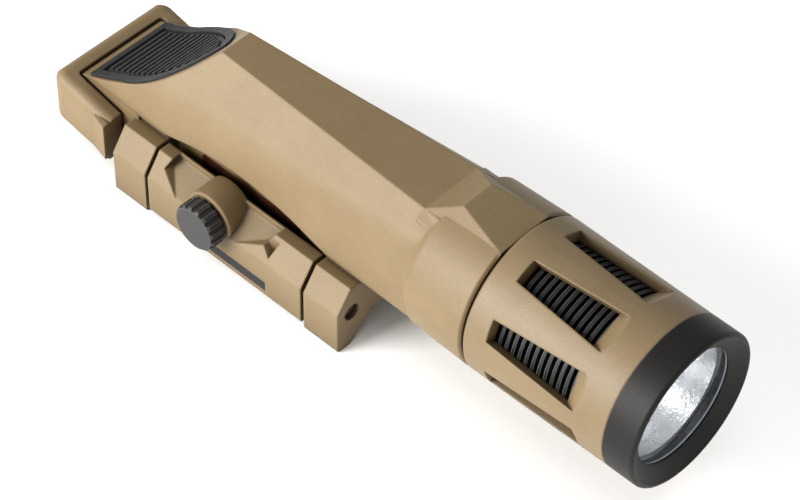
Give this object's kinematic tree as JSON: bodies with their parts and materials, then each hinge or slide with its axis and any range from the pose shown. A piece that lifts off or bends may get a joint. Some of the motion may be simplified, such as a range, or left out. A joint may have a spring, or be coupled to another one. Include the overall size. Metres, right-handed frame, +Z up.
{
  "type": "weapon light",
  "caption": "Rail-mounted tactical flashlight with a turning finned head, a ribbed tail button, a U-shaped paddle lever and a swinging clamp jaw on a thumb screw.",
  "frame": {"origin": "centre of the rail seat, half way along the clamp", "axes": "+X along the optical axis to the lens, +Z up from the rail to the light, -Y to the clamp's screw"},
  "size_m": [0.1548, 0.0388, 0.0454],
  "materials": {
    "tan_polymer": "fine-grained tan glass-filled polymer, satin",
    "tan_coated_aluminium": "tan ceramic coating, satin",
    "black_anodised": "black anodised, satin",
    "sink_aluminium": "black anodised, machined",
    "black_rubber": "matt",
    "black_plastic": "satin",
    "steel": "turned",
    "dark_steel": "blackened",
    "spring_steel": "drawn wire",
    "brass": "turned",
    "bronze": "dark, oiled",
    "label_black": "blank plate",
    "tube_aluminium": "bare, turned",
    "lens_glass": "clear, coated",
    "reflector_silver": "mirror polished",
    "clear_gasket": "translucent",
    "board_white": "white solder mask",
    "board_green": "green solder mask",
    "emitter": "phosphor under a clear dome",
    "white_plastic": "satin",
    "component_black": "moulded",
    "lead_red": "insulated wire",
    "cell_wrap": "wrapped can"
  },
  "bodies": {
    "body": {"body_shell": "tan_polymer", "battery_tube": "tube_aluminium", "neck_o_ring": "black_rubber", "tail_contact": "brass", "tail_spring": "spring_steel", "switch_board": "board_green", "tactile_switch": "component_black", "button_frame": "black_rubber", "button_spring": "spring_steel", "lever_pins": "steel", "lever_spring": "spring_steel", "jaw_pin_front": "dark_steel", "jaw_pin_rear": "dark_steel", "bearing_plate": "bronze", "recoil_lug": "dark_steel"},
    "cells": {"cell_front": "cell_wrap", "cell_rear": "cell_wrap"},
    "head": {"head_shell": "tan_coated_aluminium", "heat_sink": "sink_aluminium", "bezel_ring": "black_anodised", "lens": "lens_glass", "lens_gasket": "clear_gasket", "reflector": "reflector_silver", "led_board": "board_white", "led_emitter": "emitter", "led_centring_ring": "white_plastic", "driver_board": "board_green", "driver_retainer": "brass", "driver_parts": "component_black", "led_leads": "lead_red", "head_contact": "brass", "contact_insulator": "white_plastic"},
    "button": {"button_pad": "black_rubber", "button_plunger": "white_plastic"},
    "lever": {"paddle_lever": "tan_polymer"},
    "jaw": {"movable_jaw": "tan_polymer", "screw_insert": "brass", "label_plate": "label_black"},
    "pad": {"swivel_pad": "steel"},
    "screw": {"thumb_knob": "black_plastic", "screw_shank": "steel"}
  },
  "joints": [
    {"name": "head_advance", "type": "slide", "parent": "body", "child": "cells", "axis": [1, 0, 0], "range_m": [0, 0.003], "deforming": ["tail_spring"]},
    {"name": "head_turn", "type": "hinge", "parent": "cells", "child": "head", "pos_m": [0, 0, 0.0222], "axis": [1, 0, 0], "range_deg": [0, 720]},
    {"name": "button_press", "type": "slide", "parent": "body", "child": "button", "axis": [0.5812, 0, -0.8137], "range_m": [0, 0.0008], "stiffness_N_per_m": 1500, "springref_m": -0.0005, "deforming": ["button_spring"]},
    {"name": "lever_press", "type": "hinge", "parent": "body", "child": "lever", "pos_m": [-0.039, 0, 0.0072], "axis": [0, 1, 0], "range_deg": [0, 4], "stiffness_Nm_per_rad": 0.15, "springref_deg": -5.73, "deforming": ["lever_spring"]},
    {"name": "jaw_swing", "type": "hinge", "parent": "body", "child": "jaw", "pos_m": [0, -0.0133, 0.003], "axis": [-1, 0, 0], "range_deg": [0, 14.1]},
    {"name": "screw_advance", "type": "slide", "parent": "jaw", "child": "pad", "axis": [0, -1, 0], "range_m": [0, 0.0014]},
    {"name": "screw_turn", "type": "hinge", "parent": "pad", "child": "screw", "pos_m": [-0.0038, 0, 0.006], "axis": [0, -1, 0], "range_deg": [0, 720]}
  ],
  "couplings": [
    {"joint": "head_turn", "follows": "head_advance", "rad_per_m": 4188.7},
    {"joint": "screw_turn", "follows": "screw_advance", "rad_per_m": 8975.9},
    {"joint": "jaw_swing", "follows": "screw_advance", "rad_per_m": 174.1}
  ]
}
